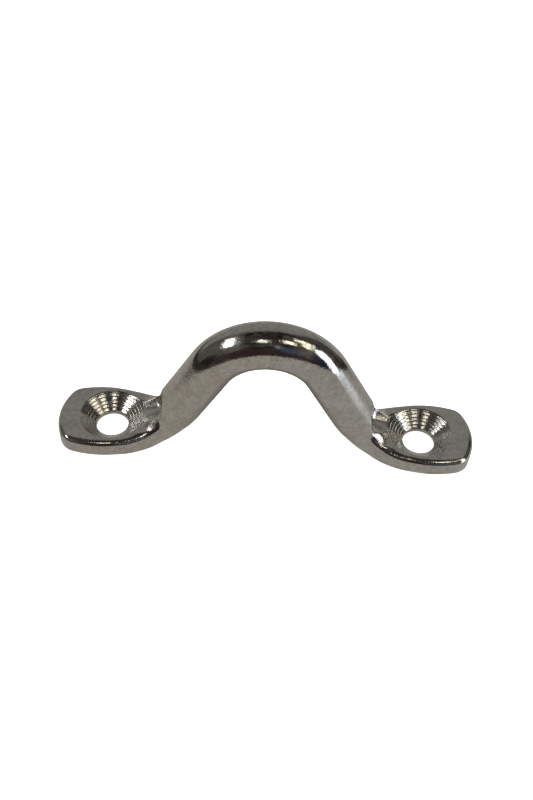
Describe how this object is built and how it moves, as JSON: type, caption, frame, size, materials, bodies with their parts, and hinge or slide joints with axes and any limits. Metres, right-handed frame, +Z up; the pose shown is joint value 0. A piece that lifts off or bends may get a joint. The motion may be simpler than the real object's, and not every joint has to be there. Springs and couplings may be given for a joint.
{
  "type": "pad eye",
  "caption": "One-piece stainless steel eye strap: a round rod arch with a flat, countersunk screw pad at each end, for tying or shackling to a boat's deck.",
  "frame": {"origin": "on the deck under the top of the arch, midway between the two screw holes", "axes": "+X along the strap through both screw holes, +Y across it, +Z up from the deck"},
  "size_m": [0.0744, 0.0144, 0.0262],
  "materials": {
    "steel": "polished stainless steel, with satin pad tops and turned countersinks"
  },
  "bodies": {
    "root": {"pad_eye": "steel"}
  },
  "joints": []
}
